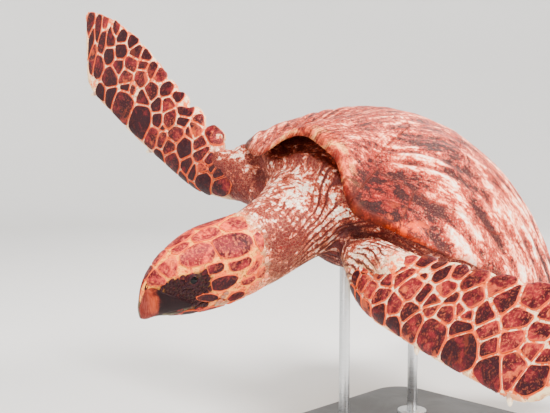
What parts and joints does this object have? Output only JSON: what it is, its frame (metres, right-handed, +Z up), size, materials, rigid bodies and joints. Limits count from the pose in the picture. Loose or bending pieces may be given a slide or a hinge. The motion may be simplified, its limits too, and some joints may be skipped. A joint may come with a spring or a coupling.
{
  "type": "hawksbill turtle",
  "caption": "Life-size hawksbill turtle gliding with its flippers spread and its left side low, held by two rods over a flat base.",
  "frame": {"origin": "middle of the underside of the stand's base, on the floor", "axes": "+Z up, the turtle heads towards -Y, its left side towards +X"},
  "size_m": [1.2058, 0.9824, 0.7578],
  "materials": {
    "shell": "semi-gloss horn with radiating streaks",
    "margin": "semi-gloss horn, pale towards the edge",
    "plastron": "semi-gloss pale horn",
    "skin": "wrinkled, satin",
    "scaled_skin": "dark plates with cream seams, satin",
    "beak": "worn horn, satin",
    "eye": "wet, glossy",
    "claw": "satin horn",
    "stand_paint": "satin black",
    "stand_steel": "brushed"
  },
  "bodies": {
    "root": {"nuchal": "margin", "vertebral_1": "shell", "vertebral_2": "shell", "vertebral_3": "shell", "vertebral_4": "shell", "vertebral_5": "shell", "costal_left_1": "shell", "costal_right_1": "shell", "costal_left_2": "shell", "costal_right_2": "shell", "costal_left_3": "shell", "costal_right_3": "shell", "costal_left_4": "shell", "costal_right_4": "shell", "marginal_left_1": "margin", "marginal_right_1": "margin", "marginal_left_2": "margin", "marginal_right_2": "margin", "marginal_left_3": "margin", "marginal_right_3": "margin", "marginal_left_4": "margin", "marginal_right_4": "margin", "marginal_left_5": "margin", "marginal_right_5": "margin", "marginal_left_6": "margin", "marginal_right_6": "margin", "marginal_left_7": "margin", "marginal_right_7": "margin", "marginal_left_8": "margin", "marginal_right_8": "margin", "marginal_left_9": "margin", "marginal_right_9": "margin", "marginal_left_10": "margin", "marginal_right_10": "margin", "marginal_left_11": "margin", "marginal_right_11": "margin", "marginal_left_12": "margin", "marginal_right_12": "margin", "plastron": "plastron", "trunk": "skin", "neck": "skin", "head": "scaled_skin", "beak_upper": "beak", "beak_lower": "beak", "eye_left": "eye", "eye_right": "eye", "front_flipper_left": "scaled_skin", "front_flipper_right": "scaled_skin", "hind_flipper_left": "scaled_skin", "hind_flipper_right": "scaled_skin", "tail": "skin", "claw_front_left_1": "claw", "claw_front_left_2": "claw", "claw_front_right_1": "claw", "claw_front_right_2": "claw", "claw_hind_left": "claw", "claw_hind_right": "claw", "stand_base": "stand_paint", "stand_rod_front": "stand_steel", "stand_rod_rear": "stand_steel"}
  },
  "joints": []
}
